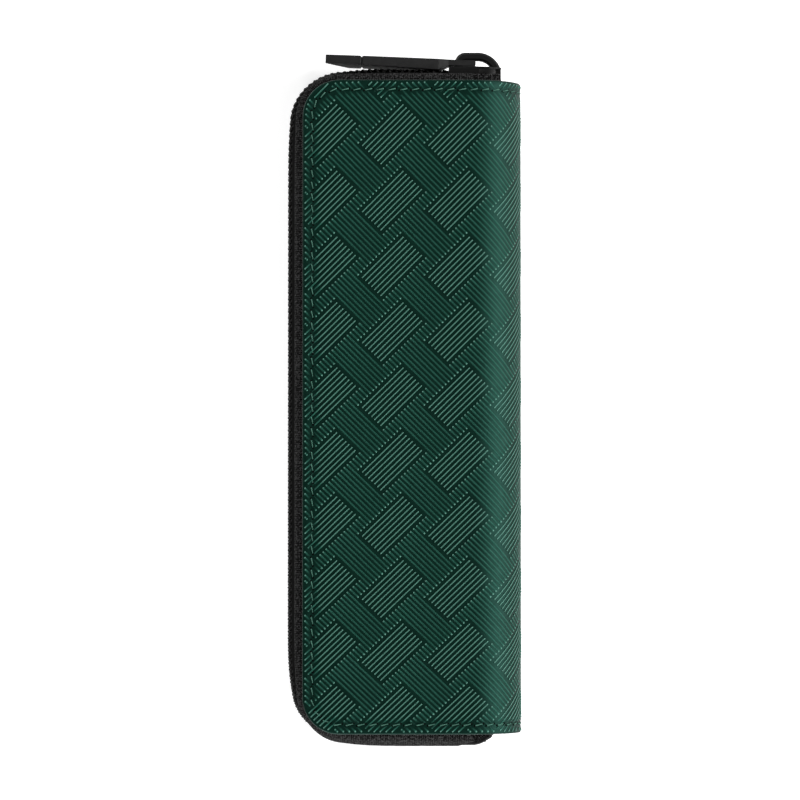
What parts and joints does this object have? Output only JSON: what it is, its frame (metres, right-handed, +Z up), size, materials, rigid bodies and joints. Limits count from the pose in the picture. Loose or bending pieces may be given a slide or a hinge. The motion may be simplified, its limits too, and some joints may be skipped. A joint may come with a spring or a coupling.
{
  "type": "zip-round pen case",
  "caption": "Slim zip-round leather case for a pair of fountain pens, with a rounded spine, stiffened covers, a woven zip round the free edges, a slider with a long pull, and pen loops inside.",
  "frame": {"origin": "middle of the leather outline, on the flat back face that the case rests on", "axes": "+Z up through the thickness to the front cover, +Y along the case to the end where the zip pull rests, +X across to the rounded spine"},
  "size_m": [0.057, 0.1713, 0.024],
  "materials": {
    "cover_leather": "dark green calf leather, embossed with a ribbed weave",
    "stiffener_board": "bonded leather board",
    "lining_cloth": "black twill lining",
    "zip_tape": "black woven zip tape",
    "zip_coil": "black nylon coil",
    "zip_metal": "black satin coating on die-cast zinc",
    "pull_metal": "black satin coating on die-cast zinc",
    "loop_leather": "black smooth leather"
  },
  "bodies": {
    "back_half": {"back_cover": "cover_leather", "back_stiffener": "stiffener_board", "back_lining": "lining_cloth", "back_zip_tape": "zip_tape", "back_zip_coil": "zip_coil", "back_top_stop": "zip_metal", "zip_bottom_stop": "zip_metal", "loop_patch": "loop_leather", "pen_loop_left": "loop_leather", "pen_loop_right": "loop_leather"},
    "front_half": {"front_cover": "cover_leather", "front_stiffener": "stiffener_board", "front_lining": "lining_cloth", "front_zip_tape": "zip_tape", "front_zip_coil": "zip_coil", "front_top_stop": "zip_metal"},
    "slider": {"slider_body": "zip_metal", "slider_bail": "zip_metal"},
    "pull": {"zip_pull": "pull_metal", "pull_tip": "pull_metal"}
  },
  "joints": [
    {"name": "cover_open", "type": "hinge", "parent": "back_half", "child": "front_half", "pos_m": [0.02695, 0, 0.012], "axis": [0, 1, 0], "range_deg": [0, 180]},
    {"name": "slider_run", "type": "slide", "parent": "back_half", "child": "slider", "axis": [-1, 0, 0], "range_m": [0, 0.025], "deforming": ["back_zip_coil", "front_zip_coil"]},
    {"name": "pull_swing", "type": "hinge", "parent": "slider", "child": "pull", "pos_m": [0.01505, 0.0851, 0.012], "axis": [0, 0, -1], "range_deg": [0, 135]}
  ]
}
